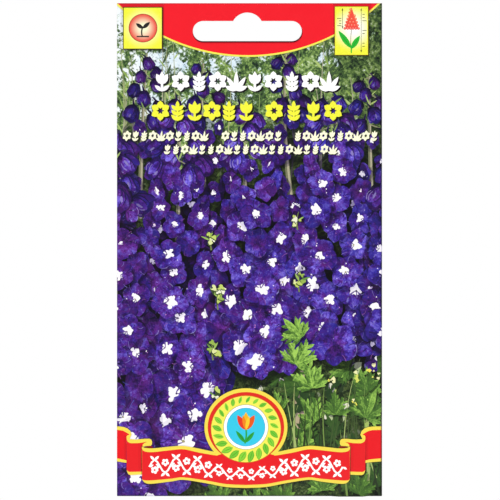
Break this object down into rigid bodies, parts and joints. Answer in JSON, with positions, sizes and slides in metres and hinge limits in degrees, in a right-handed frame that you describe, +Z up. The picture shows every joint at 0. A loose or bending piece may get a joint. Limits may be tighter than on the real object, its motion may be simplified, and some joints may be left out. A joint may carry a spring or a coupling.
{
  "type": "seed packet",
  "caption": "Flat printed paper seed packet with a folded bottom flap, a back lap seam and an arched hanging slot in its header, with loose seeds inside.",
  "frame": {"origin": "top of the hanging slot's arch, midway between the packet's two plies, where a display hook bears", "axes": "+Z up, +X to the right seen from the front, -Y out of the printed front"},
  "size_m": [0.0799, 0.0035, 0.149],
  "materials": {
    "printed_paper": "coated, satin gloss, printed in violet, red, yellow and green",
    "glue": "dried paper glue, satin",
    "seed_coat": "matt, rough, dark brown seed coat"
  },
  "bodies": {
    "root": {"printed_sheet": "printed_paper", "lap_seam_glue": "glue", "bottom_flap_glue": "glue", "mouth_glue_lower": "glue", "mouth_glue_upper": "glue", "seed_1_01": "seed_coat", "seed_1_02": "seed_coat", "seed_1_03": "seed_coat", "seed_1_04": "seed_coat", "seed_1_05": "seed_coat", "seed_1_06": "seed_coat", "seed_1_07": "seed_coat", "seed_1_08": "seed_coat", "seed_1_09": "seed_coat", "seed_1_10": "seed_coat", "seed_1_11": "seed_coat", "seed_1_12": "seed_coat", "seed_1_13": "seed_coat", "seed_1_14": "seed_coat", "seed_1_15": "seed_coat", "seed_1_16": "seed_coat", "seed_2_01": "seed_coat", "seed_2_02": "seed_coat", "seed_2_03": "seed_coat", "seed_2_04": "seed_coat", "seed_2_05": "seed_coat", "seed_2_06": "seed_coat", "seed_2_07": "seed_coat", "seed_2_08": "seed_coat", "seed_2_09": "seed_coat", "seed_2_10": "seed_coat", "seed_2_11": "seed_coat", "seed_2_12": "seed_coat", "seed_2_13": "seed_coat", "seed_3_01": "seed_coat", "seed_3_02": "seed_coat", "seed_3_03": "seed_coat", "seed_3_04": "seed_coat", "seed_3_05": "seed_coat", "seed_3_06": "seed_coat", "seed_3_07": "seed_coat", "seed_3_08": "seed_coat", "seed_3_09": "seed_coat"}
  },
  "joints": []
}
